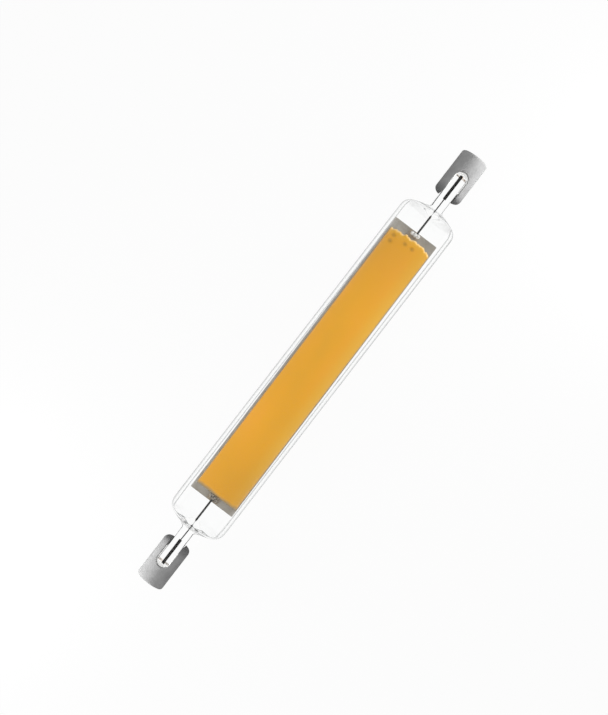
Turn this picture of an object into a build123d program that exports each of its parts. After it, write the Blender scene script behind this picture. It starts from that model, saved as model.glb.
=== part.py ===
from build123d import *
import math
import os

# Double-ended linear LED lamp: a clear glass tube with a press seal and a ceramic cap
# at each end, and a coated LED board hung between its two leads inside.
# X runs along the lamp, the board's front faces +Z, and the origin is the lamp's centre.
# All sizes are in millimetres.

# Overall length, and the stepped recess that the contact sits in at each end
overall_length = 117.6
contact_depth = 1.7
recess_radius = 1.8
recess_depth = 1.5
recess_mouth_radius = 0.15
seat_radius = 1.6
seat_depth = 2.3

# Ceramic end caps
cap_diameter = 6.65
cap_length = 10.9
cap_floor = 4.45
cap_nose_radius = 1.2
cap_rim_radius = 0.45

# Glass bulb
tube_diameter = 14.0
tube_wall = 0.8
neck_length = 3.5
end_wall_left = 1.8
end_wall_right = 1.1
end_rise = 1.55
bore_rise = 0.4
shoulder_radius = 2.5
bulge_radius = 3.2
bulge_height_left = 1.1
bulge_height_right = 0.9

# Press seals, each turned a little from square with the board
seal_thickness = 3.0
seal_width = 5.6
seal_edge_radius = 0.55
seal_root_radius = 0.45
seal_end_radius = 0.5
seal_twist = 4.0

# Cement between seal and cap
cement_film = 0.12
cement_plug = 0.8
cement_length = 4.6
cement_inset = 0.7

# Seal foils and lead wires
foil_thickness = 0.05
foil_width = 2.2
foil_length = 5.6
foil_inset = 1.45
foil_overlap = 1.25
inner_lead_diameter = 0.45
outer_lead_diameter = 0.7
lead_free_left = 4.95
lead_free_right = 4.5
lead_bend_radius = 0.9
lead_bend_share = 0.25
lead_tail = 1.3
solder_film = 0.03

# End contacts
contact_flange = 0.3
contact_gap = 0.05
shank_radius = 0.75
shank_gap = 0.03
shank_clearance = 0.1
lead_socket = 1.6
contact_button_radius = 1.3

# LED board, hung slightly askew and off the tube's axis, and its terminal pads.
# The gap is the least one, from the board's nearest corner to the bore.
board_yaw = 0.45
board_shift = 0.13
board_gap = 0.08
board_thickness = 1.0
board_corner_radius = 0.2
pad_length = 1.5
pad_width = 2.7
pad_thickness = 0.07
pad_edge = 0.15

# Phosphor coats
coat_back_margin = 0.5
coat_front_margin = 0.1
coat_left_margin = 1.95
coat_right_margin = 1.5
coat_edge_height = 0.42
coat_crown = 0.3
coat_corner_radius = 0.6
coat_round = 0.22

# LED dies in rows under each coat, and driver dies at the front's right end
die_length = 1.0
die_width = 0.5
die_height = 0.15
die_rows = 2
die_row_pitch = 4.4
die_pitch = 2.6
die_end_margin = 1.6
driver_zone = 3.2
driver_size = 0.8
driver_height = 0.2

# Places worked out from the sizes above
end_x = overall_length / 2
cap_open_x = end_x - cap_length
slot_end_x = end_x - cap_floor
seal_end_x = slot_end_x - cement_plug
bulb_end_x = cap_open_x - neck_length
left_wall_x = -(bulb_end_x - end_wall_left)
right_wall_x = bulb_end_x - end_wall_right
tube_radius = tube_diameter / 2
bore_radius = tube_radius - tube_wall
cap_radius = cap_diameter / 2
slot_half = seal_thickness / 2 + cement_film
recess_floor_x = end_x - recess_depth
seat_x = end_x - seat_depth
foil_inner_x = bulb_end_x - foil_inset
foil_outer_x = foil_inner_x + foil_length
outer_lead_x = foil_outer_x - foil_overlap
inner_lead_x = foil_inner_x + foil_overlap
outer_lead_end_x = slot_end_x + lead_socket
shank_end_x = slot_end_x + shank_clearance
contact_x = end_x - contact_depth
left_glass_x = left_wall_x + bulge_height_left
right_glass_x = right_wall_x - bulge_height_right
board_left_x = left_glass_x + lead_free_left
board_right_x = right_glass_x - lead_free_right
board_length = board_right_x - board_left_x
board_middle_x = (board_left_x + board_right_x) / 2
board_top_z = board_thickness / 2
board_far_x = max(-board_left_x, board_right_x)
board_corner_y = math.sqrt((bore_radius - board_gap) ** 2 - board_top_z**2)
board_swing = board_far_x * math.sin(math.radians(board_yaw))
board_half_width = (board_corner_y - board_shift - board_swing) / math.cos(math.radians(board_yaw))
pad_top_z = board_top_z + pad_thickness
lead_rest_z = pad_top_z + solder_film + inner_lead_diameter / 2
coat_half_width = board_half_width - (coat_back_margin + coat_front_margin) / 2
coat_middle_y = (coat_front_margin - coat_back_margin) / 2
coat_left_x = board_left_x + coat_left_margin
coat_right_x = board_right_x - coat_right_margin

# How far the hand-laid right end of the coat falls back from its furthest point,
# from the back edge (+Y) to the front edge (-Y), at even steps across the coat
coat_scallops = (0.8, 0.55, 0.35, 0.1, 0.05, 0.3, 0.95)

# Solder lumps at each end: how far inside the board's end, across, base radius, height
solder_lumps_left = ((0.9, 0.1, 0.72, 0.62), (0.7, -0.82, 0.5, 0.4), (1.12, 0.82, 0.5, 0.42))
solder_lumps_right = ((0.67, -0.25, 0.5, 0.6), (0.66, -0.85, 0.48, 0.5), (0.7, 0.5, 0.46, 0.38))

# Driver dies: how far inside the coat's right end, and how far across
driver_places = ((3.3, 3.7), (1.85, 3.75), (2.0, 0.65), (2.0, -1.3))


def save(piece, name):
    """Names a finished piece and writes its file."""
    piece.part.label = name
    export_step(piece.part, f"parts/{name}.step")


def end_plane(side):
    """The plane of one lamp end, turned with its seal: x runs outward, z along the seal's width."""
    turn = math.radians(seal_twist)
    return Plane(
        origin=(0, 0, 0),
        x_dir=(side, 0, 0),
        z_dir=(0, -side * math.sin(turn), math.cos(turn)),
    )


def across(plane, x):
    """The plane that cuts another plane square at its own x, and looks along that x."""
    return Plane(origin=plane.origin + plane.x_dir * x, x_dir=plane.y_dir, z_dir=plane.x_dir)


def board_end_plane(side):
    """The upright plane along one board end: x runs outward and y runs up from the board."""
    return Plane(origin=(0, 0, 0), x_dir=(side, 0, 0), z_dir=(0, -side, 0))


def board_face_plane(face, offset_y=0):
    """The plane of the board's front (face 1) or back (face -1), looking away from the board."""
    along = Vector(1, 0, 0).rotate(Axis.Z, board_yaw)
    level = Plane(origin=(0, board_shift, face * board_top_z), x_dir=along, z_dir=(0, 0, face))
    return Plane(origin=level.origin + level.y_dir * offset_y, x_dir=along, z_dir=level.z_dir)


def seal_foil(side):
    """Thin molybdenum foil that carries the current through one seal."""
    with BuildPart() as foil:
        with BuildSketch(across(end_plane(side), foil_inner_x)):
            Rectangle(foil_thickness, foil_width)
        extrude(amount=foil_length)
    return foil


def outer_lead(side, foil):
    """Straight lead, split over the foil at its inner end, that runs out of the seal to the contact."""
    with BuildPart() as lead:
        with BuildSketch(across(end_plane(side), outer_lead_x)):
            Circle(outer_lead_diameter / 2)
        extrude(amount=outer_lead_end_x - outer_lead_x)
        add(foil.part, mode=Mode.SUBTRACT)
    return lead


def inner_lead(side, foil, glass_x, board_x):
    """Lead from the foil through the glass, cranked up so that its tail lies over the board's pad."""
    bend_run = lead_bend_share * (glass_x - board_x)
    with BuildPart() as lead:
        with BuildLine(board_end_plane(side)) as route:
            FilletPolyline(
                (inner_lead_x, 0),
                (glass_x - bend_run, 0),
                (board_x + bend_run, lead_rest_z),
                (board_x - lead_tail, lead_rest_z),
                radius=lead_bend_radius,
            )
        with BuildSketch(Plane(origin=route.line @ 0, z_dir=route.line % 0)):
            Circle(inner_lead_diameter / 2)
        sweep()
        add(foil.part, mode=Mode.SUBTRACT)
    return lead


def glass_envelope(embedded):
    """Tube with both rounded ends and both press seals, all one glass, closed round its foils and leads."""
    rim_x = bulb_end_x - end_rise
    with BuildPart() as glass:
        with BuildSketch():
            with BuildLine():
                FilletPolyline(
                    (-bulb_end_x, 0),
                    (-rim_x, tube_radius),
                    (rim_x, tube_radius),
                    (bulb_end_x, 0),
                    radius=shoulder_radius,
                )
                Line((bulb_end_x, 0), (-bulb_end_x, 0))
            make_face()
        revolve(axis=Axis.X)

        for side in (-1, 1):
            with BuildSketch(across(end_plane(side), rim_x)):
                RectangleRounded(seal_thickness, seal_width, seal_edge_radius)
            extrude(amount=seal_end_x - rim_x)
            seal_end = glass.faces().sort_by(Axis((0, 0, 0), (side, 0, 0)))[-1]
            fillet(seal_end.edges(), radius=seal_end_radius)

        seal_roots = glass.edges().filter_by(
            lambda edge: rim_x < abs(edge.center().X) < bulb_end_x
            and edge.center().Y ** 2 + edge.center().Z ** 2 < (seal_width / 2 + seal_edge_radius) ** 2
        )
        fillet(seal_roots, radius=seal_root_radius)

        with BuildSketch():
            with BuildLine():
                left_tip = (left_glass_x, 0)
                left_foot = (left_wall_x, bulge_radius)
                right_foot = (right_wall_x, bulge_radius)
                right_tip = (right_glass_x, 0)
                Spline(left_tip, left_foot, tangents=[(0, 1), (0, 1)])
                FilletPolyline(
                    left_foot,
                    (left_wall_x + bore_rise, bore_radius),
                    (right_wall_x - bore_rise, bore_radius),
                    right_foot,
                    radius=shoulder_radius - tube_wall,
                )
                Spline(right_foot, right_tip, tangents=[(0, -1), (0, -1)])
                Line(right_tip, left_tip)
            make_face()
        revolve(axis=Axis.X, mode=Mode.SUBTRACT)

        for piece in embedded:
            add(piece.part, mode=Mode.SUBTRACT)
    return glass


def end_cap(side):
    """Round ceramic cap, forked over the seal, with the contact's recess in its outer end."""
    plane = end_plane(side)
    shank_hole_radius = shank_radius + shank_gap
    with BuildPart() as cap:
        with BuildSketch(Plane(origin=(0, 0, 0), x_dir=plane.x_dir, z_dir=plane.z_dir)):
            with BuildLine():
                FilletPolyline(
                    (cap_open_x, shank_hole_radius),
                    (cap_open_x, cap_radius),
                    (end_x, cap_radius),
                    (end_x, recess_radius),
                    (recess_floor_x, recess_radius),
                    radius=[cap_nose_radius, cap_rim_radius, recess_mouth_radius],
                )
                Polyline(
                    (recess_floor_x, recess_radius),
                    (recess_floor_x, seat_radius),
                    (seat_x, seat_radius),
                    (seat_x, shank_hole_radius),
                    (cap_open_x, shank_hole_radius),
                )
            make_face()
        revolve(axis=Axis.X)

        with BuildSketch(plane):
            slot_outline(cap_open_x - cap_nose_radius)
        extrude(amount=cap_diameter, both=True, mode=Mode.SUBTRACT)
    return cap


def slot_outline(start_x):
    """Outline of the cap's slot from start_x to its round closed end, drawn in the sketch being made."""
    round_x = slot_end_x - slot_half
    with Locations(((start_x + round_x) / 2, 0)):
        Rectangle(round_x - start_x, 2 * slot_half)
    with Locations((round_x, 0)):
        Circle(slot_half)


def end_cement(side, glass, lead):
    """Cement that fills the closed end of the slot and the thin gaps beside the seal."""
    with BuildPart() as cement:
        with BuildSketch(end_plane(side)):
            slot_outline(slot_end_x - cement_length)
        extrude(amount=cap_radius - cement_inset, both=True)
        add(glass.part, mode=Mode.SUBTRACT)
        add(lead.part, mode=Mode.SUBTRACT)
    return cement


def end_contact(side, lead):
    """Turned contact, seated at the bottom of the recess, its shank welded over the end of the lead."""
    plane = end_plane(side)
    flange_x = seat_x + contact_flange
    flange_radius = seat_radius - contact_gap
    with BuildPart() as contact:
        with BuildSketch(Plane(origin=(0, 0, 0), x_dir=plane.x_dir, z_dir=plane.z_dir)):
            with BuildLine():
                Polyline(
                    (contact_x, 0),
                    (shank_end_x, 0),
                    (shank_end_x, shank_radius),
                    (seat_x, shank_radius),
                    (seat_x, flange_radius),
                    (flange_x, flange_radius),
                    (flange_x, contact_button_radius),
                )
                EllipticalCenterArc(
                    (flange_x, 0), contact_x - flange_x, contact_button_radius, arc_size=90
                )
            make_face()
        revolve(axis=Axis.X)
        add(lead.part, mode=Mode.SUBTRACT)
    return contact


def led_board():
    """Flat ceramic board, as wide as the tube's bore lets it be where it hangs."""
    with BuildPart() as board:
        with BuildSketch(board_face_plane(1)):
            with Locations((board_middle_x, 0)):
                RectangleRounded(board_length, 2 * board_half_width, board_corner_radius)
        extrude(amount=-board_thickness)
    return board


def terminal_pad(board_x, side):
    """Metal pad on the front of the board, just inside one end."""
    pad_x = board_x - pad_edge - pad_length / 2
    with BuildPart() as pad:
        with BuildSketch(board_face_plane(1)):
            with Locations((side * pad_x, 0)):
                RectangleRounded(pad_length, pad_width, board_corner_radius)
        extrude(amount=pad_thickness)
    return pad


def solder_joint(board_x, side, lumps, lead):
    """Solder set in lumps over the lead's tail, flat underneath where it wets the pad."""
    pad_plane = board_face_plane(1).offset(pad_thickness)
    with BuildPart() as solder:
        for inside, offset_y, base_radius, height in lumps:
            ball_radius = (base_radius**2 + height**2) / (2 * height)
            centre = (side * (board_x - inside), offset_y, height - ball_radius)
            with Locations(pad_plane.from_local_coords(centre)):
                Sphere(ball_radius)
        split(bisect_by=pad_plane, keep=Keep.TOP)
        add(lead.part, mode=Mode.SUBTRACT)
    return solder


def led_dies(face):
    """LED dies in even rows on one face of the board, short of the driver dies."""
    row_length = coat_right_x - driver_zone - coat_left_x - 2 * die_end_margin
    count = 1 + int(row_length / die_pitch)
    row_middle_x = coat_left_x + die_end_margin + row_length / 2
    with BuildPart() as dies:
        with BuildSketch(board_face_plane(face)):
            with Locations((row_middle_x, 0)):
                with GridLocations(die_pitch, die_row_pitch, count, die_rows):
                    Rectangle(die_length, die_width)
        extrude(amount=die_height)
    return dies


def driver_dies():
    """Driver dies on the board's front, near its right end."""
    with BuildPart() as dies:
        with BuildSketch(board_face_plane(1)):
            with Locations([(coat_right_x - inside, offset_y) for inside, offset_y in driver_places]):
                Rectangle(driver_size, driver_size)
        extrude(amount=driver_height)
    return dies


def phosphor_coat(face, covered):
    """Crowned silicone coat over the dies and pad ends on one face. The front's right end is laid by hand."""
    top = coat_edge_height + coat_crown
    corner = coat_corner_radius
    face_plane = board_face_plane(face, coat_middle_y)
    with BuildPart() as coat:
        with BuildSketch(face_plane):
            if face > 0:
                last = len(coat_scallops) - 1
                wave = [
                    (coat_right_x - fall, coat_half_width * (1 - 2 * i / last))
                    for i, fall in enumerate(coat_scallops)
                ]
                with BuildLine():
                    FilletPolyline(
                        wave[-1],
                        (coat_left_x, -coat_half_width),
                        (coat_left_x, coat_half_width),
                        wave[0],
                        radius=corner,
                    )
                    Spline(wave, tangents=[(1, 0), (-1, 0)])
                make_face()
            else:
                with Locations(((coat_left_x + coat_right_x) / 2, 0)):
                    RectangleRounded(coat_right_x - coat_left_x, 2 * coat_half_width, corner)
        extrude(amount=top)

        with BuildSketch(across(face_plane, coat_left_x)):
            with BuildLine():
                Polyline(
                    (-coat_half_width, coat_edge_height),
                    (-coat_half_width, 0),
                    (coat_half_width, 0),
                    (coat_half_width, coat_edge_height),
                )
                ThreePointArc(
                    (coat_half_width, coat_edge_height),
                    (0, top),
                    (-coat_half_width, coat_edge_height),
                )
            make_face()
        extrude(amount=coat_right_x - coat_left_x, mode=Mode.INTERSECT)

        crown = coat.faces().sort_by(Axis((0, 0, 0), (0, 0, face)))[-1]
        fillet(crown.edges(), radius=coat_round)
        for piece in covered:
            add(piece.part, mode=Mode.SUBTRACT)
    return coat


os.makedirs("parts", exist_ok=True)

board = led_board()
save(board, "led_board")

front_dies = led_dies(1)
save(front_dies, "led_dies_front")
back_dies = led_dies(-1)
save(back_dies, "led_dies_back")
drivers = driver_dies()
save(drivers, "driver_dies")

# Both ends: name, direction along X, inner glass face, board end and solder lumps
ends = (
    ("left", -1, -left_glass_x, -board_left_x, solder_lumps_left),
    ("right", 1, right_glass_x, board_right_x, solder_lumps_right),
)
pads = {name: terminal_pad(board_x, side) for name, side, glass_x, board_x, lumps in ends}
save(phosphor_coat(1, [front_dies, drivers, *pads.values()]), "phosphor_coat_front")
save(phosphor_coat(-1, [back_dies]), "phosphor_coat_back")

outer_leads = {}
embedded = []
for name, side, glass_x, board_x, lumps in ends:
    foil = seal_foil(side)
    save(foil, f"seal_foil_{name}")
    lead_in = inner_lead(side, foil, glass_x, board_x)
    save(lead_in, f"inner_lead_{name}")
    lead_out = outer_lead(side, foil)
    save(lead_out, f"outer_lead_{name}")
    save(pads[name], f"terminal_pad_{name}")
    save(solder_joint(board_x, side, lumps, lead_in), f"solder_joint_{name}")
    outer_leads[name] = lead_out
    embedded += [foil, lead_in, lead_out]

glass = glass_envelope(embedded)
save(glass, "glass_envelope")

for name, side, glass_x, board_x, lumps in ends:
    save(end_cap(side), f"end_cap_{name}")
    save(end_cement(side, glass, outer_leads[name]), f"end_cement_{name}")
    save(end_contact(side, outer_leads[name]), f"end_contact_{name}")
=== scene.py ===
import math

import bpy
from mathutils import Matrix, Vector, noise


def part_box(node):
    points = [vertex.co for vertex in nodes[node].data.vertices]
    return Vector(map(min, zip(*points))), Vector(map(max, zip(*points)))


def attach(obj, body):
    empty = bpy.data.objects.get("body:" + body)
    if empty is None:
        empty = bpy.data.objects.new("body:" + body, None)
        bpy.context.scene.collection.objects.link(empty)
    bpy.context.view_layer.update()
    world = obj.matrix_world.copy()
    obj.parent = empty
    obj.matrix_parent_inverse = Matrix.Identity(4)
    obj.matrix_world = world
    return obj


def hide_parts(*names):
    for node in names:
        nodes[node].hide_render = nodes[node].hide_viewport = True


# A double-ended linear LED lamp, lying on a pale table and seen from straight above.
# Shapes are worked out in millimetres, in the lamp's own frame: X along the lamp, Z up
# out of the board's front face. They are turned into metres where the meshes are made.

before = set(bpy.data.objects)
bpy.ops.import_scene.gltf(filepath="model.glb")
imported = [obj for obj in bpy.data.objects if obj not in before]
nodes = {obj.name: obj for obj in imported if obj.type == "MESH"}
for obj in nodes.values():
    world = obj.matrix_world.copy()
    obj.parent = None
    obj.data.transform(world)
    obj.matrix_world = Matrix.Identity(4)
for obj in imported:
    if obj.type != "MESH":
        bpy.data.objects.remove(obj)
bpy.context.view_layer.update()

MM = 0.001
SIDES = {"left": -1, "right": 1}


def node_box(node):
    """Lowest and highest corner of a CAD node, in millimetres."""
    low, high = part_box(node)
    return Vector(low) / MM, Vector(high) / MM


# Sizes read from the frame
glass_high = node_box("glass_envelope")[1]
cap_low, cap_high = node_box("end_cap_right")
foil_low, foil_high = node_box("seal_foil_right")

tube_radius = glass_high.z
seal_end_x = glass_high.x

# Press seals, with the sizes of the part's source
SEAL_HALF_THICKNESS = 1.5
SEAL_HALF_WIDTH = 2.8
SEAL_CORNER = 0.55
SEAL_ROOT = 0.6
SEAL_END_RADIUS = 0.5
SEAL_END_CORNER = 0.1

# The foils are turned about the lamp's axis as the solid seals are. The glass skin leans
# less, because the seals' edges are faint in the photograph.
FOIL_TURN = math.radians(4)
GLASS_TURN = math.radians(1.5)

# Board, which lies turned and shifted in the tube
BOARD_YAW = math.radians(0.45)
BOARD_SHIFT = 0.13
BOARD_TOP_Z = 0.5
BOARD_END_X = {"left": 36.55, "right": 37.9}

# Leads from the board to the foils. Their tails are what shows of them on the pads.
LEAD_RADIUS = 0.225
LEAD_REST_Z = 0.825
LEAD_BEND_SHARE = 0.25
LEAD_TAIL = {"left": 1.3, "right": 0.3}
LEAD_WEAR = 0.03
LEAD_ON_FOIL = 1.25
BLADE_HALF_THICKNESS = 0.02
BLADE_HALF_WIDTH = 0.12
BLADE_STARTS = 0.3
BLADE_RUN = 0.8

# Foils, which spread from a narrow tongue at the weld to their full width
FOIL_INNER_X = 42.95
FOIL_HALF_WIDTH = 1.1
FOIL_HALF_THICKNESS = 0.09
FOIL_EDGE = 0.02
FOIL_TONGUE = 0.1
FOIL_STARTS = 0.75
FOIL_SPREADS = 1.0
FOIL_SPREAD_RUN = 0.5
FOIL_CRIMP = 0.012
FOIL_CRIMP_RATE = 5.5

# Silicone coats on the board's front and back
COAT_LEFT_X = -34.6
COAT_RIGHT_X = 36.4
COAT_HALF_WIDTH = 5.372
COAT_MIDDLE_Y = -0.2
COAT_SMEAR = 0.35
COAT_EDGE = 0.42
COAT_CROWN = 0.3
COAT_WAVE = 0.025
COAT_DIP = 0.09
COAT_STEPS_ALONG = 420
COAT_STEPS_ACROSS = 56
# How far in from its edges the coat rounds off: left, right, sides
COAT_ROUNDINGS = (1.2, 0.8, 0.3)
LOBE_SEED = 1.3
# Driver dies: how far in from the coat's right end, and where across it
DRIVER_PLACES = ((3.3, 3.7), (1.85, 3.75), (2.0, 0.65), (2.0, -1.3))

# How far painted shade reaches from the tube over the caps, and painted light in from their outer
# ends
SHADE_REACH = 3.0
LIGHT_REACH = 3.0


# Mesh helpers


def new_object(name, data):
    """An object in the scene that shows a mesh, a light or a camera."""
    made = bpy.data.objects.new(name, data)
    bpy.context.scene.collection.objects.link(made)
    return made


def add_masks(mesh, masks):
    """Gives the points of a mesh named values, which the materials read."""
    for name, values in masks.items():
        mesh.attributes.new(name, "FLOAT", "POINT").data.foreach_set("value", values)


def add_mesh(name, mesh, material, node):
    """Shows a finished mesh as a smooth piece of the lamp, which stands for a CAD node."""
    mesh.polygons.foreach_set("use_smooth", [True] * len(mesh.polygons))
    mesh.materials.clear()
    mesh.materials.append(MATERIALS[material])
    piece = new_object(name, mesh)
    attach(piece, "root")
    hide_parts(node)


def add_piece(name, points, faces, node, slot, masks=None):
    """Makes a piece of the lamp from points in millimetres. Its slot names its material."""
    mesh = bpy.data.meshes.new(name)
    mesh.from_pydata([(x * MM, y * MM, z * MM) for x, y, z in points], [], faces)
    mesh.validate()
    add_masks(mesh, masks or {})
    add_mesh(name, mesh, slot, node)


def loft(rings, first_index=0, inward=False):
    """Faces of a closed skin through rings of equal length, fanned to the two end points.

    The points are one start point, then the rings in order, then one end point.
    """
    count = len(rings[0])
    start = first_index
    end = first_index + 1 + count * len(rings)
    faces = []
    for k in range(count):
        after = (k + 1) % count
        faces.append((start, start + 1 + after, start + 1 + k))
        last = end - count
        faces.append((end, last + k, last + after))
    for row in range(len(rings) - 1):
        base = start + 1 + row * count
        for k in range(count):
            after = (k + 1) % count
            faces.append((base + k, base + after, base + count + after, base + count + k))
    if inward:
        faces = [tuple(reversed(face)) for face in faces]
    return faces


def skin_points(start, rings, end):
    """The points that loft's faces refer to."""
    return [start] + [point for ring in rings for point in ring] + [end]


def turned(y, z, turn):
    """A point across the lamp, turned about the lamp's axis."""
    return y * math.cos(turn) - z * math.sin(turn), y * math.sin(turn) + z * math.cos(turn)


def section(count, half_y, half_z, corner, turn=0.0):
    """Points round a rounded rectangle across the lamp, as (y, z).

    A corner as large as both halves makes it a circle.
    """
    straight_z = half_z - corner
    straight_y = half_y - corner
    quarter = straight_z + corner * math.pi / 2 + straight_y
    points = []
    for k in range(count):
        quadrant, part = divmod(4 * k / count, 1)
        run = part * quarter if quadrant % 2 == 0 else (1 - part) * quarter
        if run < straight_z:
            y, z = half_y, run
        elif run < straight_z + corner * math.pi / 2:
            angle = (run - straight_z) / corner
            y, z = straight_y + corner * math.cos(angle), straight_z + corner * math.sin(angle)
        else:
            y, z = quarter - run, half_z
        y = -y if quadrant in (1, 2) else y
        z = -z if quadrant in (2, 3) else z
        points.append(turned(y, z, turn))
    return points


def steps(first, last, count):
    """Evenly spaced numbers from first to last."""
    return [first + (last - first) * i / (count - 1) for i in range(count)]


def smooth(t):
    """Smoothstep of t, held between 0 and 1."""
    t = min(max(t, 0.0), 1.0)
    return t * t * (3 - 2 * t)


# Node groups and materials


def new_group(name, inputs, outputs):
    """An empty shader node group with float inputs (name, value) and float outputs."""
    group = bpy.data.node_groups.new(name, "ShaderNodeTree")
    for socket, value in inputs:
        made = group.interface.new_socket(socket, in_out="INPUT", socket_type="NodeSocketFloat")
        made.default_value = value
    for socket in outputs:
        group.interface.new_socket(socket, in_out="OUTPUT", socket_type="NodeSocketFloat")
    return group


class Graph:
    """Short words for adding nodes to a tree and linking them."""

    def __init__(self, tree):
        self.tree = tree

    def add(self, kind, **settings):
        node = self.tree.nodes.new(kind)
        for key, value in settings.items():
            setattr(node, key, value)
        return node

    def link(self, source, target):
        self.tree.links.new(source, target)

    def put(self, socket, value):
        """Links another socket to this one, or sets it to a plain value."""
        if isinstance(value, bpy.types.NodeSocket):
            self.link(value, socket)
        else:
            socket.default_value = value

    def math(self, operation, *values, clamp=False):
        node = self.add("ShaderNodeMath", operation=operation, use_clamp=clamp)
        for socket, value in zip(node.inputs, values):
            self.put(socket, value)
        return node.outputs[0]

    def weighed(self, first, first_share, second, second_share):
        """The sum of two values, each times its share."""
        first_part = self.math("MULTIPLY", first, first_share)
        return self.math("ADD", first_part, self.math("MULTIPLY", second, second_share))

    def mask(self, name):
        """A value that add_masks gave to the mesh."""
        return self.add("ShaderNodeAttribute", attribute_name=name).outputs["Fac"]

    def mix(self, factor, first, second):
        node = self.add("ShaderNodeMix", data_type="RGBA")
        self.put(node.inputs["Factor"], factor)
        self.put(node.inputs[6], first)
        self.put(node.inputs[7], second)
        return node.outputs[2]

    def ramp(self, factor, stops):
        node = self.add("ShaderNodeValToRGB")
        elements = node.color_ramp.elements
        while len(elements) < len(stops):
            elements.new(0.5)
        for element, (place, colour) in zip(elements, stops):
            element.position = place
            element.color = (*colour, 1.0)
        self.link(factor, node.inputs["Fac"])
        return node.outputs["Color"]

    def group(self, group, **values):
        node = self.add("ShaderNodeGroup", node_tree=group)
        for key, value in values.items():
            self.put(node.inputs[key.replace("_", " ")], value)
        return node

    def bump(self, height, strength, distance):
        node = self.add("ShaderNodeBump")
        node.inputs["Strength"].default_value = strength
        node.inputs["Distance"].default_value = distance
        self.link(height, node.inputs["Height"])
        return node.outputs["Normal"]

    def mix_surface(self, factor, shader, other):
        """Makes the surface a mix of two shaders, all the other one where factor is 1."""
        choice = self.add("ShaderNodeMixShader")
        for socket, source in zip(choice.inputs, (factor, shader.outputs[0], other.outputs[0])):
            self.link(source, socket)
        self.link(choice.outputs[0], self.tree.nodes["Material Output"].inputs["Surface"])


def grain_group():
    """Two sizes of noise in object space: a broad mottle and a fine grain, and a height."""
    group = new_group(
        "surface grain",
        [("Broad Scale", 300.0), ("Fine Scale", 4000.0), ("Stretch", 1.0)],
        ["Mottle", "Grain", "Height"],
    )
    g = Graph(group)
    entry = g.add("NodeGroupInput")
    leave = g.add("NodeGroupOutput")
    place = g.add("ShaderNodeTexCoord")
    stretch = g.add("ShaderNodeCombineXYZ")
    for socket, value in zip(stretch.inputs, (entry.outputs["Stretch"], 1.0, 1.0)):
        g.put(socket, value)
    scaled = g.add("ShaderNodeVectorMath", operation="MULTIPLY")
    g.link(place.outputs["Object"], scaled.inputs[0])
    g.link(stretch.outputs[0], scaled.inputs[1])
    noises = []
    for scale, detail, output in (("Broad Scale", 3.0, "Mottle"), ("Fine Scale", 2.0, "Grain")):
        texture = g.add("ShaderNodeTexNoise")
        texture.inputs["Detail"].default_value = detail
        g.link(scaled.outputs[0], texture.inputs["Vector"])
        g.link(entry.outputs[scale], texture.inputs["Scale"])
        g.link(texture.outputs["Fac"], leave.inputs[output])
        noises.append(texture.outputs["Fac"])
    broad, fine = noises
    g.link(g.math("ADD", g.math("MULTIPLY", broad, 0.4), fine), leave.inputs["Height"])
    return group


GRAIN = grain_group()


def new_material(name):
    """A material with only its output and one Principled shader."""
    material = bpy.data.materials.new(name)
    material.use_nodes = True
    g = Graph(material.node_tree)
    return material, g, material.node_tree.nodes["Principled BSDF"]


# How strong the painted shade and the painted light on the caps are, and the grey of the painted
# light
SHADE_SHARE = 0.75
LIGHT_SHARE = 0.2
LIGHT_COLOUR = (0.42, 0.42, 0.42, 1.0)


def grained_material(
    name, dark, light, roughness, bump, metallic=0.0,
    broad=300.0, fine=4000.0, stretch=1.0, specular=0.5, painted_shade=None,
):
    """Two close colours mottled together, with a grained surface and uneven gloss.

    Roughness has a lowest and a highest value, bump a strength and a height in metres.
    Where a shade colour is given, the mesh's masks say where painted shade darkens it and where
    painted light lightens it.
    """
    material, g, shader = new_material(name)
    grain = g.group(GRAIN, Broad_Scale=broad, Fine_Scale=fine, Stretch=stretch)
    blend = g.weighed(grain.outputs["Mottle"], 0.7, grain.outputs["Grain"], 0.3)
    colour = g.ramp(blend, [(0.3, dark), (0.7, light)])
    # Painted shade, then painted light, laid over the colour where the masks say
    if painted_shade:
        colour = g.mix(g.math("MULTIPLY", g.mask("painted_shade"), SHADE_SHARE), colour, (*painted_shade, 1.0))
        colour = g.mix(g.math("MULTIPLY", g.mask("painted_light"), LIGHT_SHARE), colour, LIGHT_COLOUR)
    g.link(colour, shader.inputs["Base Color"])
    low, high = roughness
    gloss = g.math("MULTIPLY_ADD", grain.outputs["Mottle"], high - low, low)
    g.link(gloss, shader.inputs["Roughness"])
    g.link(g.bump(grain.outputs["Height"], *bump), shader.inputs["Normal"])
    shader.inputs["Metallic"].default_value = metallic
    shader.inputs["Specular IOR Level"].default_value = specular
    return material


# How far towards edge-on, from 0 to 1, painted shade begins to turn the glass grey on the
# straight wall, and how much later it does on the blunt ends, whose walls stand steep
GREY_STARTS = 0.66
GREY_STARTS_LATER = 0.1
GLASS_IOR = 1.47
# Greys of the painted shade at the glass's edges
GLASS_GREYS = [
    (0.0, (0.998, 1.0, 0.999)),
    (0.35, (0.42, 0.43, 0.43)),
    (0.8, (0.16, 0.165, 0.17)),
]


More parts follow.
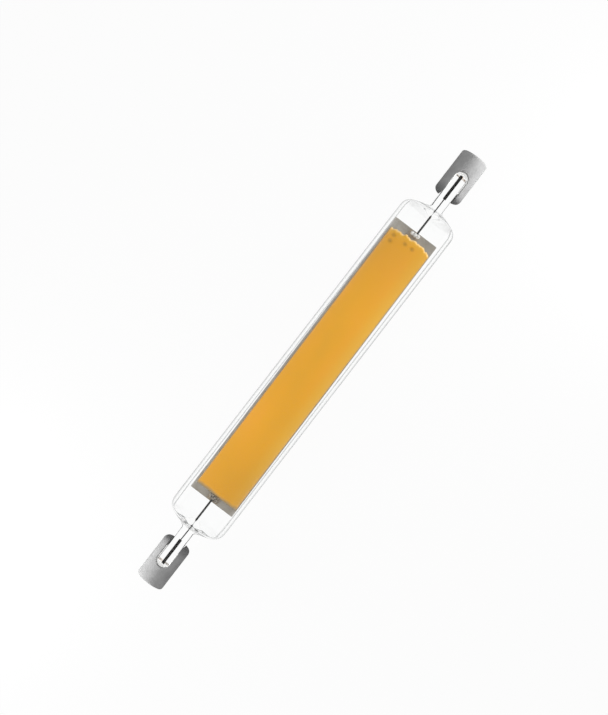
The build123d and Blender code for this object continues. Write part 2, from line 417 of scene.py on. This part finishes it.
def clear_glass():
    """Clear drawn glass, a little uneven. Painted shade turns its skins grey only where seen
    edge-on.
    """
    material, g, shader = new_material("clear glass")
    shader.inputs["IOR"].default_value = GLASS_IOR
    shader.inputs["Transmission Weight"].default_value = 1.0
    shader.inputs["Roughness"].default_value = 0.0
    shader.inputs["Specular Tint"].default_value = (0.3, 0.3, 0.3, 1)
    grain = g.group(GRAIN, Broad_Scale=90.0, Fine_Scale=500.0, Stretch=0.25)
    g.link(g.bump(grain.outputs["Mottle"], 0.12, 0.0002), shader.inputs["Normal"])

    # Painted shade: grey laid into the glass's colour where a skin is seen edge-on
    weight = g.add("ShaderNodeLayerWeight")
    weight.inputs["Blend"].default_value = 0.5
    start = g.math("MULTIPLY_ADD", g.mask("steep"), GREY_STARTS_LATER, GREY_STARTS)
    share = g.math(
        "DIVIDE",
        g.math("SUBTRACT", weight.outputs["Facing"], start),
        g.math("SUBTRACT", 1.0, start),
        clamp=True,
    )
    uneven = g.math("ADD", g.math("MULTIPLY", grain.outputs["Mottle"], 0.5), 0.75)
    deep = g.math("MULTIPLY", g.math("MULTIPLY", share, g.mask("edge_shade")), uneven)
    g.link(g.ramp(deep, GLASS_GREYS), shader.inputs["Base Color"])

    # Light falls through the glass without bending, so that the board is lit
    through = g.add("ShaderNodeBsdfTransparent")
    through.inputs["Color"].default_value = (0.97, 0.975, 0.97, 1)
    path = g.add("ShaderNodeLightPath")
    unseen = g.math("MAXIMUM", path.outputs["Is Shadow Ray"], path.outputs["Is Diffuse Ray"])
    g.mix_surface(unseen, shader, through)
    return material


# Tints of the coat where its masks say so, laid over one another in this order: paler
# where it thins at its right end and with painted light along one side, creamy at the lip,
# painted shade deeper towards both ends, brown where thin, dull over drivers
COAT_TINTS = {
    # Paler where the coat thins at its right end, and painted light along its lit side
    "pale_and_painted_light": (0.74, 0.405, 0.04, 1),
    "lip": (0.93, 0.76, 0.43, 1),
    # Painted shade, deeper towards both ends, where the end lamps light the coat more
    "end": (0.5, 0.24, 0.022, 1),
    "thin": (0.22, 0.17, 0.1, 1),
    "spot": (0.4, 0.2, 0.02, 1),
}


def phosphor_silicone():
    """Blotchy orange silicone, tinted by the coat's masks."""
    material, g, shader = new_material("phosphor silicone")
    grain = g.group(GRAIN, Broad_Scale=120.0, Fine_Scale=1500.0, Stretch=0.45)
    blend = g.weighed(grain.outputs["Mottle"], 0.8, grain.outputs["Grain"], 0.2)
    colour = g.ramp(
        blend,
        [(0.3, (0.69, 0.335, 0.022)), (0.5, (0.755, 0.348, 0.02)), (0.7, (0.79, 0.348, 0.028))],
    )
    for mask, tint in COAT_TINTS.items():
        colour = g.mix(g.mask(mask), colour, tint)
    g.link(colour, shader.inputs["Base Color"])
    shader.inputs["Roughness"].default_value = 0.5
    shader.inputs["Specular IOR Level"].default_value = 0.1
    g.link(g.bump(grain.outputs["Height"], 0.25, 0.00008), shader.inputs["Normal"])
    return material


MATERIALS = {
    "clear_glass": clear_glass(),
    # The caps' near-black is painted shade towards the tube
    "cap_ceramic": grained_material(
        "grey ceramic", (0.235, 0.235, 0.235), (0.315, 0.315, 0.315), (0.62, 0.8), (0.35, 0.00012),
        broad=500.0, fine=5000.0, specular=0.1, painted_shade=(0.07, 0.07, 0.072),
    ),
    "cap_cement": grained_material(
        "white cement", (0.88, 0.875, 0.86), (0.96, 0.96, 0.95), (0.85, 0.98), (0.4, 0.0002),
        broad=900.0, fine=3500.0,
    ),
    "contact_metal": grained_material(
        "plated contact", (0.62, 0.6, 0.55), (0.75, 0.73, 0.68), (0.22, 0.38), (0.1, 0.00005),
        metallic=1.0,
    ),
    "foil_metal": grained_material(
        "dull foil", (0.01, 0.01, 0.01), (0.03, 0.029, 0.028), (0.5, 0.65), (0.2, 0.00004),
        specular=0.05,
    ),
    "lead_wire": grained_material(
        "drawn wire", (0.012, 0.012, 0.012), (0.03, 0.029, 0.028), (0.5, 0.65), (0.2, 0.00004),
        stretch=0.15, specular=0.2,
    ),
    "board_ceramic": grained_material(
        "board ceramic", (0.195, 0.168, 0.135), (0.325, 0.305, 0.275), (0.4, 0.55),
        (0.12, 0.00005), broad=350.0, specular=0.15,
    ),
    "pad_metal": grained_material(
        "printed silver", (0.17, 0.12, 0.075), (0.32, 0.27, 0.21), (0.4, 0.6), (0.3, 0.00006),
        metallic=0.15,
    ),
    "dull_solder": grained_material(
        "dull solder", (0.05, 0.042, 0.035), (0.46, 0.41, 0.34), (0.25, 0.5), (0.5, 0.0002),
        metallic=0.3, broad=1600.0,
    ),
    # Near-white solder: a painted highlight
    "solder_painted_highlight": grained_material(
        "solder with painted highlight", (0.42, 0.4, 0.38), (0.85, 0.84, 0.82), (0.3, 0.5), (0.5, 0.0002),
        metallic=0.1, broad=1200.0,
    ),
    "led_die": grained_material(
        "sapphire die", (0.35, 0.4, 0.5), (0.5, 0.55, 0.62), (0.15, 0.3), (0.1, 0.00002),
    ),
    "driver_die": grained_material(
        "silicon die", (0.02, 0.02, 0.022), (0.05, 0.05, 0.052), (0.2, 0.35), (0.1, 0.00002),
    ),
    "phosphor_silicone": phosphor_silicone(),
}


# Glass tube with its press seals

GLASS_SIDES = 128
# Worked glass is never quite true: how far it wavers, how broadly, and over which part
WAVER = 0.06
WAVER_SIZE = 3.0
WAVER_SEED = 5
WAVER_STARTS_X = 34
WAVER_RISE = 8
WAVER_FALL = 6

# Without a seed, the vector noise of the glass would be another one in each run
noise.seed_set(WAVER_SEED)


def wavered(point, amount):
    """A point of the glass moved a little by smooth noise."""
    shift = noise.noise_vector(Vector(point) / WAVER_SIZE + Vector((WAVER_SEED, 0, 0)))
    return (point[0] + amount * shift.x, point[1] + amount * shift.y, point[2] + amount * shift.z)


def spread_along(profile, count):
    """Evenly spread points on a smooth curve through profile points, each an (x, radius)."""
    points = [Vector((x, r)) for x, r in profile]
    dense = []
    for i in range(len(points) - 1):
        before = points[max(i - 1, 0)]
        after = points[min(i + 2, len(points) - 1)]
        a, b = points[i], points[i + 1]
        lead_in = (b - before) * 0.5
        lead_out = (after - a) * 0.5
        for t in steps(0, 1, 13)[:-1]:
            dense.append(
                a * (2 * t**3 - 3 * t**2 + 1) + lead_in * (t**3 - 2 * t**2 + t)
                + b * (3 * t**2 - 2 * t**3) + lead_out * (t**3 - t**2)
            )
    dense.append(points[-1])
    runs = [0.0]
    for a, b in zip(dense, dense[1:]):
        runs.append(runs[-1] + (b - a).length)
    spread = []
    place = 0
    for goal in steps(0, runs[-1], count):
        while place < len(runs) - 2 and runs[place + 1] < goal:
            place += 1
        t = (goal - runs[place]) / (runs[place + 1] - runs[place])
        spread.append(tuple(dense[place].lerp(dense[place + 1], min(max(t, 0.0), 1.0))))
    return spread


# Each end of the bulb's outer skin, from the tube to the press seal's root, as (x, radius)
OUTER_END = {
    "left": (
        (40.2, 7.0), (41.2, 6.9), (42.15, 6.48), (42.85, 5.7), (43.27, 4.8),
        (43.6, 3.9), (43.85, 3.3),
    ),
    "right": (
        (40.6, 7.0), (41.6, 6.88), (42.5, 6.34), (43.07, 5.5), (43.4, 4.7),
        (43.68, 3.85), (43.9, 3.3),
    ),
}
# The same of the skin inside, from the bore to the tip of the glass that bulges in
INNER_END = {
    "left": (
        (40.2, 6.2), (41.2, 6.13), (42.05, 5.83), (42.62, 5.1), (42.9, 4.3),
        (42.95, 3.5), (42.7, 2.5), (42.1, 1.5), (41.6, 0.6),
    ),
    "right": (
        (40.6, 6.2), (41.6, 6.08), (42.5, 5.55), (43.05, 4.7), (43.25, 3.8),
        (43.2, 3.0), (42.95, 2.1), (42.6, 1.2), (42.4, 0.5),
    ),
}
INNER_TIP_X = {"left": 41.48, "right": 42.37}
END_STARTS_X = 41.2
ROOT_STARTS_X = 43.75
ROOT_ENDS_X = 44.6
# How far along the lamp the round bulb takes to spread to the seal's width
ROOT_SLOPE = 2.2
# How far in from the straight wall a wall is taken as fully steep
STEEP_DEPTH = 0.6
SEAL_STEEPNESS = 0.5
INNER_LEAST_STEEPNESS = 0.3

# How deep the painted shade greys the skins edge-on, along the tube and at its blunt ends
INNER_EDGE_SHADE = (2.3, 2.4)
OUTER_EDGE_SHADE = {"left": (1.1, 0.6), "right": (1.1, 1.3)}
ROOT_EDGE_SHADE_LOSS = 0.85
SEAL_EDGE_SHADE_LOSS = 0.8


def outer_end_rows(name):
    """Sections of one glass end, from the tube to the seal's end.

    Each row is x, the half sizes, the corner and how steep the wall stands.
    """
    rows = [
        (x, r, r, r, smooth((tube_radius - r) / STEEP_DEPTH))
        for x, r in spread_along(OUTER_END[name], 22)
    ]
    x, r = rows[-1][:2]
    root_x = x + SEAL_ROOT
    for t in steps(0, 1, 12)[1:]:
        ease = math.sin(t * math.pi / 2)
        half_y = r + (SEAL_HALF_THICKNESS - r) * ease
        row_x = x + (root_x - x) * (1 - math.cos(t * math.pi / 2))
        half_z = r + (SEAL_HALF_WIDTH - r) * smooth((row_x - x) / ROOT_SLOPE)
        corner = min(half_y, half_z) * (1 - t) + SEAL_CORNER * t
        rows.append((row_x, half_y, half_z, min(corner, half_y, half_z), 1.0))
    for seal_x in steps(root_x, seal_end_x - SEAL_END_RADIUS, 40)[1:]:
        half_z = r + (SEAL_HALF_WIDTH - r) * smooth((seal_x - x) / ROOT_SLOPE)
        rows.append((seal_x, SEAL_HALF_THICKNESS, half_z, SEAL_CORNER, SEAL_STEEPNESS))
    for angle in steps(0, 90, 8)[1:]:
        inset = SEAL_END_RADIUS * (1 - math.cos(math.radians(angle)))
        x = seal_end_x - SEAL_END_RADIUS + SEAL_END_RADIUS * math.sin(math.radians(angle))
        sizes = (SEAL_HALF_THICKNESS - inset, SEAL_HALF_WIDTH - inset)
        rows.append((x, *sizes, max(SEAL_CORNER - inset, SEAL_END_CORNER), SEAL_STEEPNESS))
    last = rows[-1]
    for share in (0.75, 0.45, 0.15):
        rows.append((seal_end_x, *(share * size for size in last[1:4]), SEAL_STEEPNESS))
    return rows


def inner_end_rows(name):
    """The same of one end of the space in the bulb, from the bore to the bulge's tip."""
    bore = INNER_END[name][0][1]
    return [
        (x, r, r, r, max(smooth((bore - r) / STEEP_DEPTH), INNER_LEAST_STEEPNESS))
        for x, r in spread_along(INNER_END[name], 34)
    ]


def glass_skin(end_rows, tip_x):
    """One closed skin of the bulb from its left end to its right end.

    Gives its points, its rings, and how steep the wall stands at each point.
    """
    left = [(-x, *sizes) for x, *sizes in reversed(end_rows("left"))]
    right = end_rows("right")
    middle = [(x, *left[-1][1:]) for x in steps(left[-1][0], right[0][0], 40)[1:-1]]
    rings = []
    steepness = [1.0]
    for x, half_y, half_z, corner, steep in left + middle + right:
        waver = WAVER * smooth((abs(x) - WAVER_STARTS_X) / WAVER_RISE)
        waver *= smooth((seal_end_x - abs(x)) / WAVER_FALL)
        ring = section(GLASS_SIDES, half_y, half_z, corner, math.copysign(GLASS_TURN, x))
        rings.append([wavered((x, y, z), waver) for y, z in ring])
        steepness += [steep] * GLASS_SIDES
    points = skin_points((-tip_x["left"], 0, 0), rings, (tip_x["right"], 0, 0))
    return points, rings, steepness + [1.0]


def painted_edge_shade(x, radius, inside=False):
    """How deep the painted shade greys a skin edge-on at x.

    Outside it changes from the tube to the blunt ends, and there is hardly any at the
    seals' roots and along the seals. Inside it fades towards the tip of the bulge.
    """
    straight, blunt = INNER_EDGE_SHADE if inside else OUTER_EDGE_SHADE["right" if x > 0 else "left"]
    edge_shade = straight + (blunt - straight) * smooth((abs(x) - END_STARTS_X) / 1.2)
    if inside:
        return edge_shade * (0.3 + 0.7 * smooth((radius - 2.2) / 1.5))
    seal = smooth((abs(x) - ROOT_ENDS_X) / 0.3)
    root = smooth((abs(x) - ROOT_STARTS_X + 0.35) / 0.3) * (1 - seal)
    return edge_shade * (1 - ROOT_EDGE_SHADE_LOSS * root) * (1 - SEAL_EDGE_SHADE_LOSS * seal)


def add_glass():
    """The clear tube with both press seals: an outer skin, and one round the space inside."""
    outer, outer_rings, outer_steep = glass_skin(
        outer_end_rows, {name: seal_end_x for name in SIDES}
    )
    inner, inner_rings, inner_steep = glass_skin(inner_end_rows, INNER_TIP_X)
    faces = loft(outer_rings) + loft(inner_rings, len(outer), inward=True)
    # Depth of the painted edge shade at each point of both skins
    edge_shade = [painted_edge_shade(x, math.hypot(y, z)) for x, y, z in outer]
    edge_shade += [painted_edge_shade(x, math.hypot(y, z), inside=True) for x, y, z in inner]
    masks = {"steep": outer_steep + inner_steep, "edge_shade": edge_shade}
    add_piece("glass_tube", outer + inner, faces, "glass_envelope", "clear_glass", masks)


# Pieces worked over from the CAD solids: softened edges and a rough surface


def painted_light_and_shade_masks(places_x):
    """Where the caps get painted shade, next to the tube, and painted light, at their outer ends.
    """
    return {
        "painted_shade": [smooth((cap_low.x + SHADE_REACH - abs(x)) / SHADE_REACH) for x in places_x],
        "painted_light": [smooth((abs(x) - cap_high.x + LIGHT_REACH) / LIGHT_REACH) for x in places_x],
    }


def worked_copy(
    node, name, material, voxel, passes, rough, size, swell=0.0, wear_and_painted_light=False
):
    """A piece with a solid's form, remeshed finely, softened and left uneven.

    Voxel is the fineness of the mesh, passes how often it is softened, rough how deep
    and size how broad its unevenness is, and swell how far its surface stands out.
    """
    mesh = nodes[node].data.copy()
    mesh.name = name
    mesh.transform(Matrix.Scale(1 / MM, 4))
    shape = new_object(name + "_shape", mesh)
    remesh = shape.modifiers.new("fine", "REMESH")
    remesh.mode = "VOXEL"
    remesh.voxel_size = voxel
    soften = shape.modifiers.new("soften", "SMOOTH")
    soften.factor = 0.5
    soften.iterations = passes
    depsgraph = bpy.context.evaluated_depsgraph_get()
    worked = bpy.data.meshes.new_from_object(shape.evaluated_get(depsgraph))
    bpy.data.objects.remove(shape)
    moved = []
    for place, normal in [(vertex.co.copy(), vertex.normal.copy()) for vertex in worked.vertices]:
        push = noise.noise(place / size) + 0.5 * noise.noise(place * 2.3 / size)
        moved.extend((place + normal * (swell + rough * (push - 0.35))) * MM)
    worked.vertices.foreach_set("co", moved)
    worked.name = name
    # Caps get masks of painted shade next to the tube and painted light at their outer ends
    if wear_and_painted_light:
        add_masks(worked, painted_light_and_shade_masks([x / MM for x in moved[::3]]))
    add_mesh(name, worked, material, node)


# Phosphor coats


def lobes(y):
    """How far the hand-laid lip of the coat falls back in lobes at y."""
    return (
        0.1 * math.sin(3.1 * y + LOBE_SEED)
        + 0.09 * math.sin(5.3 * y + 2.1 * LOBE_SEED)
        + 0.2 * noise.noise(Vector((y * 0.9, LOBE_SEED, 0)))
        + 0.22 * noise.noise(Vector((y * 2.3, LOBE_SEED, 4)))
    )


def lip_x(y, face):
    """Where the coat ends on the right at y: in a scalloped lip in front, straight behind."""
    if face < 0:
        return COAT_RIGHT_X
    rounded = 0.5 * smooth((abs(y / COAT_HALF_WIDTH) - 0.78) / 0.22)
    fallen = 0.35 * smooth((y - 1.0) / 2.5) + 0.3 * smooth((-y - 2.2) / 2)
    return COAT_RIGHT_X - 0.3 - rounded - fallen - lobes(y)


def driver_spot(x, y):
    """How near a driver die is under the front coat, from 0 to 1."""
    spot = 0.0
    for inside, place_y in DRIVER_PLACES:
        apart = math.hypot(x - (COAT_RIGHT_X - inside - 0.25), (y - place_y) * 0.9)
        spot = max(spot, 1 - smooth((apart - 0.15) / 0.55))
    return spot


def coat_point(u, v, face):
    """A point of the coat and its masks, at u along (0 to 1) and v across (-1 to 1)."""
    y = COAT_HALF_WIDTH * v
    left_x = COAT_LEFT_X - COAT_SMEAR
    length = lip_x(y, face) - left_x
    x = left_x + length * u
    from_left = x - left_x
    from_right = length * (1 - u)
    from_side = COAT_HALF_WIDTH * (1 - abs(v))
    spot = driver_spot(x, y) if face > 0 else 0.0

    height = COAT_EDGE + COAT_CROWN * (1 - v * v)
    for gap, rounding in zip((from_left, from_right, from_side), COAT_ROUNDINGS):
        near = 1 - min(gap / rounding, 1.0)
        height *= math.sqrt(max(1 - near * near, 0.0)) * 0.92 + 0.08
    wave = COAT_WAVE * noise.noise(Vector((x / 5, y / 2.4, face)))
    height += wave * min(from_side, from_left, from_right, 1.0)
    height = min(height - COAT_DIP * spot, COAT_EDGE + COAT_CROWN)

    pale_end = 0.9 * (1 - smooth((from_right - 0.3) / 1.7))
    # Painted light: paler along the coat's lit side
    painted_light_side = 0.75 * (1 - smooth((y + COAT_HALF_WIDTH - 0.4) / 3.4))
    lip = 0.0
    if face > 0:
        lip = 0.85 + 0.5 * noise.noise(Vector((y * 1.7, 3, 1)))
        lip *= 1 - smooth((from_right - 0.12) / 0.5)
    ragged = 0.25 * noise.noise(Vector((y * 0.9, x * 0.3, 7)))
    thin_end = 1 - smooth((from_left + ragged) / 1.1)
    thin_side = 0.75 * (1 - smooth((from_side - 0.05) / 0.3))
    return (x, y, height), {
        "pale_and_painted_light": max(pale_end, painted_light_side),
        "lip": min(max(lip, 0), 1),
        # Painted shade towards both ends
        "end": 0.5 * smooth((abs(x) - 14) / 22),
        "thin": min(max(thin_end, thin_side), 1),
        "spot": 0.85 * spot,
    }


def on_board(x, y, z, face):
    """A point of the coat laid on the board, which is turned and shifted in the tube."""
    y = (y + COAT_MIDDLE_Y) * face
    placed_x = x * math.cos(BOARD_YAW) - y * math.sin(BOARD_YAW)
    placed_y = x * math.sin(BOARD_YAW) + y * math.cos(BOARD_YAW) + BOARD_SHIFT
    return placed_x, placed_y, face * (BOARD_TOP_Z + z)


def add_coat(name, node, face):
    """A crowned silicone coat over the dies, on the board's front (face 1) or back (-1)."""
    count_x, count_y = COAT_STEPS_ALONG, COAT_STEPS_ACROSS
    points, grid = [], []
    masks = {mask: [] for mask in COAT_TINTS}
    for i in range(count_x + 1):
        # The grid is finer towards the coat's edges
        u = i / count_x
        u -= 0.14 * math.sin(2 * math.pi * u)
        row = []
        for j in range(count_y + 1):
            v = -0.45 * math.cos(math.pi * j / count_y) + 0.55 * (2 * j / count_y - 1)
            place, point_masks = coat_point(u, v, face)
            row.append(len(points))
            points.append(on_board(*place, face))
            for mask, value in point_masks.items():
                masks[mask].append(value)
        grid.append(row)
    faces = [
        (grid[i][j], grid[i + 1][j], grid[i + 1][j + 1], grid[i][j + 1])
        for i in range(count_x)
        for j in range(count_y)
    ]
    # The underside is one skirt down to the board and a flat bottom face
    border = (
        [grid[i][0] for i in range(count_x)]
        + [grid[count_x][j] for j in range(count_y)]
        + [grid[i][count_y] for i in range(count_x, 0, -1)]
        + [grid[0][j] for j in range(count_y, 0, -1)]
    )
    bottom = []
    for index in border:
        x, y, z = points[index]
        bottom.append(len(points))
        points.append((x, y, face * BOARD_TOP_Z))
        for values in masks.values():
            values.append(values[index])
    for k in range(len(border)):
        after = (k + 1) % len(border)
        faces.append((border[after], border[k], bottom[k], bottom[after]))
    faces.append(tuple(bottom[::-1]))
    add_piece(name, points, faces, node, "phosphor_silicone", masks)


# Leads and foils


def add_inner_lead(name):
    """Lead from the board's pad into the seal, rolled to a blade where it meets the foil."""
    side = SIDES[name]
    tip_x, board_x = INNER_TIP_X[name], BOARD_END_X[name]
    bend = LEAD_BEND_SHARE * (tip_x - board_x)
    start_x = board_x - LEAD_TAIL[name]
    end_x = FOIL_INNER_X + LEAD_ON_FOIL
    rings = []
    for x in steps(start_x, end_x, 90):
        fall = smooth((x - board_x - bend * 0.6) / (tip_x - board_x - bend * 1.4))
        flat = smooth((x - tip_x - BLADE_STARTS) / BLADE_RUN)
        half_y = LEAD_RADIUS + (BLADE_HALF_THICKNESS - LEAD_RADIUS) * flat
        half_z = LEAD_RADIUS + (BLADE_HALF_WIDTH - LEAD_RADIUS) * flat
        wear_and_painted_light = 1 + LEAD_WEAR * noise.noise(Vector((x * 2.2, side, 0)))
        ring = section(20, half_y * wear_and_painted_light, half_z * wear_and_painted_light, min(half_y, half_z) * wear_and_painted_light)
        rings.append([(side * x, y, z + LEAD_REST_Z * (1 - fall)) for y, z in ring])
    points = skin_points((side * start_x, 0, LEAD_REST_Z), rings, (side * end_x, 0, 0))
    faces = loft(rings, inward=side < 0)
    add_piece(f"wire_{name}", points, faces, f"inner_lead_{name}", "lead_wire")


def add_foil(name):
    """Foil in the seal, thinned to an edge along both sides and crimped a little across."""
    side = SIDES[name]
    start_x, end_x = foil_low.x + FOIL_STARTS, foil_high.x
    rings = []
    for x in steps(start_x, end_x, 60):
        ripple = FOIL_CRIMP * math.sin(x * FOIL_CRIMP_RATE)
        spread = smooth((x - foil_low.x - FOIL_SPREADS) / FOIL_SPREAD_RUN)
        half_y = FOIL_EDGE + (FOIL_HALF_THICKNESS - FOIL_EDGE) * spread
        half_z = FOIL_TONGUE + (FOIL_HALF_WIDTH - FOIL_TONGUE) * spread
        ring = []
        for y, z in section(28, half_y, half_z, FOIL_EDGE):
            thinned = 1 - 0.5 * (z / FOIL_HALF_WIDTH) ** 4
            ring.append((side * x, *turned(y * thinned + ripple, z, side * FOIL_TURN)))
        rings.append(ring)
    points = skin_points((side * start_x, 0, 0), rings, (side * end_x, 0, 0))
    faces = loft(rings, inward=side < 0)
    add_piece(f"foil_{name}", points, faces, f"seal_foil_{name}", "foil_metal")


def dress(node, material):
    """Gives its material to a CAD node that is shown as it is."""
    nodes[node].data.materials.clear()
    nodes[node].data.materials.append(MATERIALS[material])


add_glass()
add_coat("coat_front", "phosphor_coat_front", 1)
add_coat("coat_back", "phosphor_coat_back", -1)
for name in SIDES:
    add_inner_lead(name)
    add_foil(name)
    worked_copy(
        f"end_cap_{name}", f"ceramic_cap_{name}", "cap_ceramic",
        voxel=0.11, passes=6, rough=0.012, size=0.6, wear_and_painted_light=True,
    )
    worked_copy(
        f"end_cement_{name}", f"cement_{name}", "cap_cement",
        voxel=0.07, passes=3, rough=0.03, size=0.35,
    )
worked_copy(
    "solder_joint_left", "solder_left", "dull_solder",
    voxel=0.035, passes=3, rough=0.1, size=0.3,
)
# The right joint shows a painted highlight in its near-white solder
worked_copy(
    "solder_joint_right", "solder_right", "solder_painted_highlight",
    voxel=0.035, passes=3, rough=0.08, size=0.3, swell=0.09,
)

dress("led_board", "board_ceramic")
dress("led_dies_front", "led_die")
dress("led_dies_back", "led_die")
dress("driver_dies", "driver_die")
for name in SIDES:
    dress(f"end_contact_{name}", "contact_metal")
    dress(f"outer_lead_{name}", "lead_wire")
    dress(f"terminal_pad_{name}", "pad_metal")


# Stage, lamps and camera

PHOTO_WIDTH = 608
PHOTO_HEIGHT = 715
LAMP_CENTRE_PIXEL = (312.3, 369.6)
LAMP_ANGLE = math.radians(52.3)
PIXELS_PER_MM = 4.535
CAMERA_DISTANCE = 270.0
SENSOR = 36.0
TABLE_HALF_SIZE = 900.0
TABLE_GLOW = 0.95
# Small lamps stand beyond both ends, each turned to the middle of the cap near it
END_LAMP_PLACE = (88, -52, 20)
END_LAMP_TARGET_X = 54


def add_table():
    """A white table under the tube. Seen directly, in gloss or through glass it is white."""
    half, z = TABLE_HALF_SIZE * MM, -tube_radius * MM
    corners = [(-half, -half, z), (half, -half, z), (half, half, z), (-half, half, z)]
    mesh = bpy.data.meshes.new("table")
    mesh.from_pydata(corners, [], [(0, 1, 2, 3)])
    new_object("table", mesh)

    material, g, shader = new_material("white table")
    shader.inputs["Base Color"].default_value = (0.5, 0.5, 0.5, 1)
    shader.inputs["Roughness"].default_value = 0.9
    path = g.add("ShaderNodeLightPath")
    bright = g.math("MAXIMUM", path.outputs["Is Camera Ray"], path.outputs["Is Glossy Ray"])
    bright = g.math("MAXIMUM", bright, path.outputs["Is Transmission Ray"])
    glow = g.add("ShaderNodeEmission")
    g.mix_surface(g.math("MULTIPLY", bright, TABLE_GLOW), shader, glow)
    mesh.materials.append(material)


def set_world():
    """Soft light from all round, and white where the camera looks, also through glass."""
    world = bpy.data.worlds.new("studio")
    bpy.context.scene.world = world
    world.use_nodes = True
    g = Graph(world.node_tree)
    background = world.node_tree.nodes["Background"]
    place = g.add("ShaderNodeTexCoord")
    apart = g.add("ShaderNodeSeparateXYZ")
    g.link(place.outputs["Generated"], apart.inputs[0])
    height = g.math("ABSOLUTE", apart.outputs["Z"])
    sky = g.ramp(height, [(0.0, (0.2, 0.2, 0.2)), (0.7, (0.42, 0.42, 0.42))])
    gloss = g.ramp(height, [(0.0, (0.35, 0.35, 0.35)), (0.6, (0.85, 0.85, 0.85))])
    path = g.add("ShaderNodeLightPath")
    seen = g.math("MAXIMUM", path.outputs["Is Camera Ray"], path.outputs["Is Transmission Ray"])
    lit = g.mix(path.outputs["Is Glossy Ray"], sky, gloss)
    g.link(g.mix(seen, lit, (1, 1, 1, 1)), background.inputs["Color"])


def add_lamp(name, place, target, size, power):
    """A soft square lamp, in millimetres, turned towards a point of the object."""
    light = bpy.data.lights.new(name, "AREA")
    light.size = size * MM
    light.energy = power
    lamp = new_object(name, light)
    lamp.location = Vector(place) * MM
    lamp.rotation_mode = "QUATERNION"
    lamp.rotation_quaternion = (Vector(target) - Vector(place)).to_track_quat("-Z", "Y")
    lamp.visible_camera = False
    lamp.visible_glossy = False
    lamp.visible_transmission = False


def add_camera():
    """Camera straight above, rolled and placed so that the lamp lies as in the photograph."""
    data = bpy.data.cameras.new("camera")
    data.sensor_width = SENSOR
    data.lens = CAMERA_DISTANCE * PIXELS_PER_MM * SENSOR / PHOTO_HEIGHT
    camera = new_object("camera", data)
    right = Vector((math.cos(LAMP_ANGLE), -math.sin(LAMP_ANGLE), 0))
    up = Vector((math.sin(LAMP_ANGLE), math.cos(LAMP_ANGLE), 0))
    offset_right = (LAMP_CENTRE_PIXEL[0] - PHOTO_WIDTH / 2) / PIXELS_PER_MM
    offset_down = (LAMP_CENTRE_PIXEL[1] - PHOTO_HEIGHT / 2) / PIXELS_PER_MM
    place = up * offset_down - right * offset_right + Vector((0, 0, CAMERA_DISTANCE))
    camera.location = place * MM
    camera.rotation_euler = (0, 0, -LAMP_ANGLE)
    bpy.context.scene.camera = camera


add_table()
set_world()
add_lamp("lamp_above", (0, 0, 500), (0, 0, 0), size=300, power=1.3)
for name in ("right", "left"):
    side = SIDES[name]
    x, y, z = END_LAMP_PLACE
    target = (side * END_LAMP_TARGET_X, 0, 0)
    add_lamp(f"lamp_{name}_end", (side * x, side * y, z), target, size=30, power=0.075)
add_camera()
bpy.context.scene.view_settings.view_transform = "Standard"
